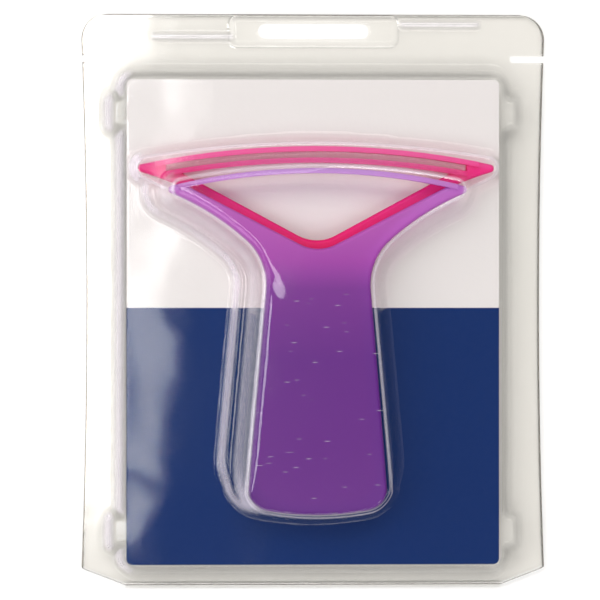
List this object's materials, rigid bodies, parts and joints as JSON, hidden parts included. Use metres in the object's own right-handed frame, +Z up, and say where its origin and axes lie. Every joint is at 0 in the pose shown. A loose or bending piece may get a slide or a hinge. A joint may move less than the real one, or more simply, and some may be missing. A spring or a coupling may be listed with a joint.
{
  "type": "tongue scraper pack",
  "caption": "Y-shaped plastic tongue scrapers nested on a plain printed card in a clear clamshell pack that folds open along its bottom edge and hangs from a slot.",
  "frame": {"origin": "middle of the closed pack's underside, where it lies on its back", "axes": "+Z up out of the pack's front, +Y from the folded bottom edge to the header with the hang slot, +X to the right as the front is seen"},
  "size_m": [0.082, 0.1014, 0.0125],
  "materials": {
    "clear_sheet": "clear formed sheet, high gloss",
    "printed_card": "coated card, white above and blue below, satin",
    "pink_plastic": "translucent moulded plastic, satin gloss",
    "violet_plastic": "translucent moulded plastic, satin gloss"
  },
  "bodies": {
    "base": {"back_shell": "clear_sheet", "living_hinge": "clear_sheet", "insert_card": "printed_card"},
    "lid": {"front_shell": "clear_sheet"},
    "single_scraper": {"single_blade_scraper": "violet_plastic"},
    "double_scraper": {"double_blade_scraper": "pink_plastic"}
  },
  "joints": [
    {"name": "lid_hinge", "type": "hinge", "parent": "base", "child": "lid", "pos_m": [0, -0.05021, 0.00047], "axis": [1, 0, 0], "range_deg": [0, 120]},
    {"name": "single_lift", "type": "slide", "parent": "base", "child": "single_scraper", "axis": [0, 0, 1], "range_m": [0, 0.021]},
    {"name": "double_lift", "type": "slide", "parent": "base", "child": "double_scraper", "axis": [0, 0, 1], "range_m": [0, 0.0095]}
  ],
  "couplings": [
    {"joint": "single_lift", "follows": "lid_hinge", "m_per_rad": 0.0095},
    {"joint": "double_lift", "follows": "lid_hinge", "m_per_rad": 0.0043}
  ]
}
